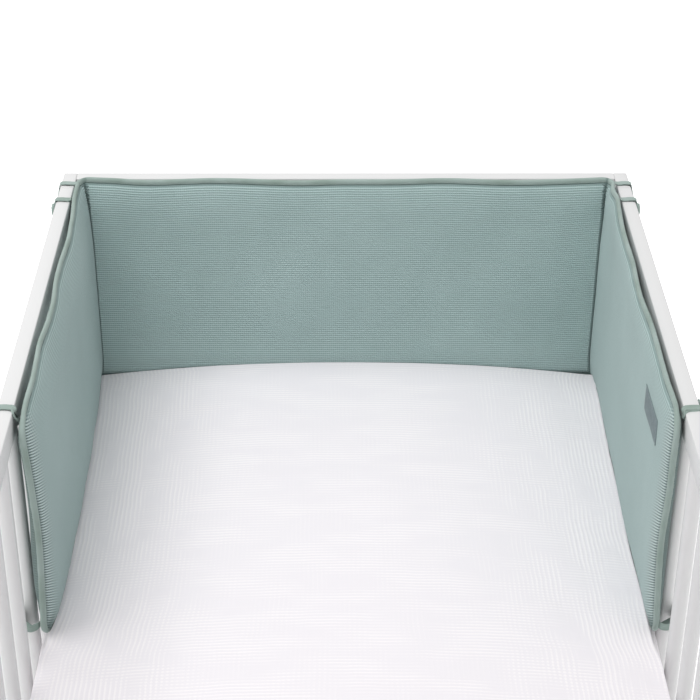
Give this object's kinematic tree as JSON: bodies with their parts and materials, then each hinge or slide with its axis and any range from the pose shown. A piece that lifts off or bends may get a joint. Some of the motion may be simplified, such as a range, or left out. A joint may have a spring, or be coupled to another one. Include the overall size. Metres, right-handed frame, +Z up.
{
  "type": "crib bumper in a slatted crib",
  "caption": "Padded waffle-cotton bumper tied round the head end of a plain white slatted crib, sunk into the edge of its covered mattress.",
  "frame": {"origin": "on the floor under the middle of the crib", "axes": "+Z up, +Y towards the head end that the bumper is tied round, +X across, towards the side with the label"},
  "size_m": [0.7794, 1.47, 0.8694],
  "materials": {
    "waffle_cotton": "waffle-woven cotton, sage green, soft",
    "binding_cotton": "plain-woven cotton tape, paler sage green",
    "label_fabric": "tightly woven tape, slate grey, bare",
    "muslin": "crinkled cotton muslin, white",
    "painted_wood": "white paint, satin"
  },
  "bodies": {
    "root": {"bumper_pad": "waffle_cotton", "bumper_binding": "binding_cotton", "bumper_label": "label_fabric", "strap_head_left": "binding_cotton", "strap_side_left": "binding_cotton", "strap_near_left": "binding_cotton", "strap_under_left": "binding_cotton", "strap_low_left": "binding_cotton", "strap_back_left": "binding_cotton", "strap_head_right": "binding_cotton", "strap_side_right": "binding_cotton", "strap_near_right": "binding_cotton", "strap_under_right": "binding_cotton", "strap_low_right": "binding_cotton", "strap_back_right": "binding_cotton", "post_head_left": "painted_wood", "post_head_right": "painted_wood", "post_foot_left": "painted_wood", "post_foot_right": "painted_wood", "side_frame_left": "painted_wood", "side_frame_right": "painted_wood", "end_frame_head": "painted_wood", "end_frame_foot": "painted_wood", "slatted_base": "painted_wood", "mattress": "muslin"}
  },
  "joints": []
}
